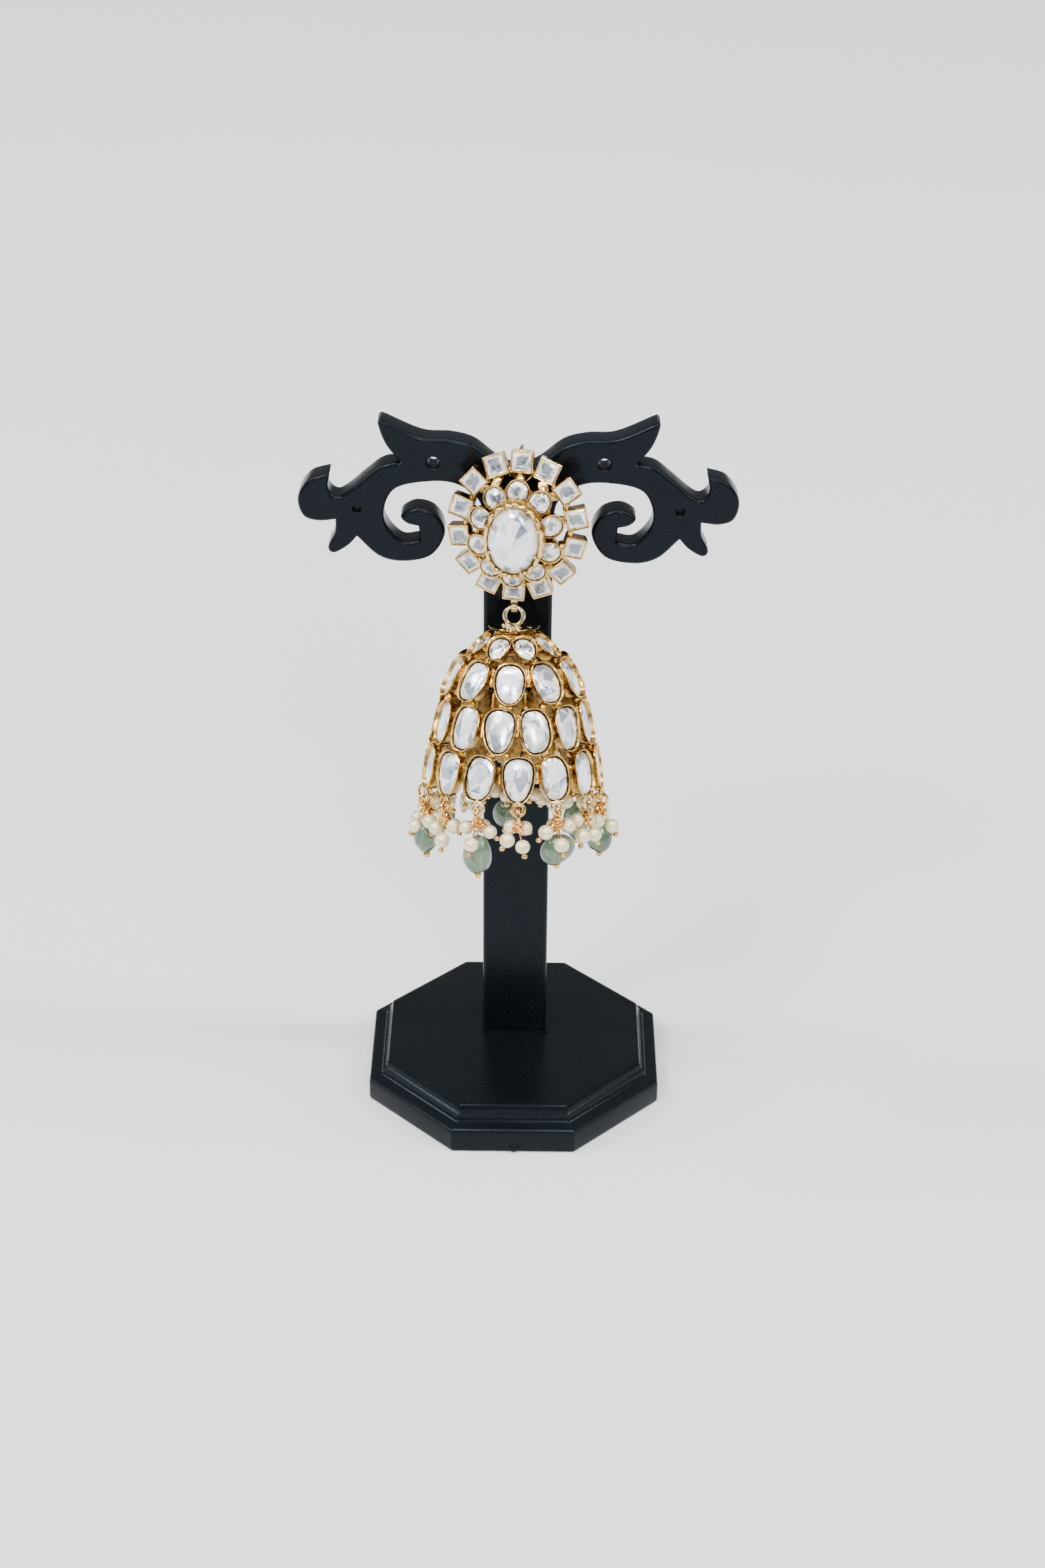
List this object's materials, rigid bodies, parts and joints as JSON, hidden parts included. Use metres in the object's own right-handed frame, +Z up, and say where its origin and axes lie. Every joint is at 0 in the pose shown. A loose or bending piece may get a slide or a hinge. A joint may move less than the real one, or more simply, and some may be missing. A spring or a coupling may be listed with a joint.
{
  "type": "jhumka earring on display stand",
  "caption": "Jhumka earring: a round stud of square and round foiled stones with a hinged open-work bell of stones and a pearl and bead fringe, hung on a plain scrolled stand.",
  "frame": {"origin": "centre of the octagonal base's underside", "axes": "+Z up, the earring faces -Y, +X to the viewer's right; the stand is symmetric about the YZ plane"},
  "size_m": [0.0816, 0.0687, 0.148],
  "materials": {
    "stand_plastic": "black moulded plastic with a satin orange-peel skin",
    "gold_metal": "gold-plated cast and soldered metal, worn bright on the rims",
    "foiled_stone": "clear uncut-look stones with silver foil behind, irregularly faceted",
    "pearl": "cream seed pearls with a soft lustre, on gold wire",
    "green_bead": "cloudy grey-green tumbled beads, polished, with pale inclusions"
  },
  "bodies": {
    "root": {"stand_arms": "stand_plastic", "stand_base": "stand_plastic", "stand_post": "stand_plastic", "stud_centre_stone": "foiled_stone", "stud_frame": "gold_metal"},
    "bell": {"bead_drop_02": "green_bead", "bead_drop_04": "green_bead", "bead_drop_06": "green_bead", "bead_drop_08": "green_bead", "bead_drop_10": "green_bead", "bead_drop_12": "green_bead", "bead_drop_14": "green_bead", "bell_frame": "gold_metal", "hem_stone_01": "foiled_stone", "hem_stone_02": "foiled_stone", "hem_stone_03": "foiled_stone", "hem_stone_04": "foiled_stone", "hem_stone_05": "foiled_stone", "hem_stone_06": "foiled_stone", "hem_stone_07": "foiled_stone", "hem_stone_08": "foiled_stone", "hem_stone_09": "foiled_stone", "hem_stone_10": "foiled_stone", "hem_stone_11": "foiled_stone", "hem_stone_12": "foiled_stone", "hem_stone_13": "foiled_stone", "hem_stone_14": "foiled_stone", "pearl_drop_01": "pearl", "pearl_drop_03": "pearl", "pearl_drop_05": "pearl", "pearl_drop_07": "pearl", "pearl_drop_09": "pearl", "pearl_drop_11": "pearl", "pearl_drop_13": "pearl", "shoulder_stone_01": "foiled_stone", "shoulder_stone_02": "foiled_stone", "shoulder_stone_03": "foiled_stone", "shoulder_stone_04": "foiled_stone", "shoulder_stone_05": "foiled_stone", "shoulder_stone_06": "foiled_stone", "shoulder_stone_07": "foiled_stone", "shoulder_stone_08": "foiled_stone", "shoulder_stone_09": "foiled_stone", "shoulder_stone_10": "foiled_stone", "waist_stone_01": "foiled_stone", "waist_stone_02": "foiled_stone", "waist_stone_03": "foiled_stone", "waist_stone_04": "foiled_stone", "waist_stone_05": "foiled_stone", "waist_stone_06": "foiled_stone", "waist_stone_07": "foiled_stone", "waist_stone_08": "foiled_stone", "waist_stone_09": "foiled_stone", "waist_stone_10": "foiled_stone", "waist_stone_11": "foiled_stone", "waist_stone_12": "foiled_stone", "waist_stone_13": "foiled_stone"}
  },
  "joints": [
    {"name": "bell_swing", "type": "hinge", "parent": "root", "child": "bell", "pos_m": [-0.00063, -0.0096, 0.11244], "axis": [-1, 0, 0], "range_deg": [0, 50]}
  ]
}
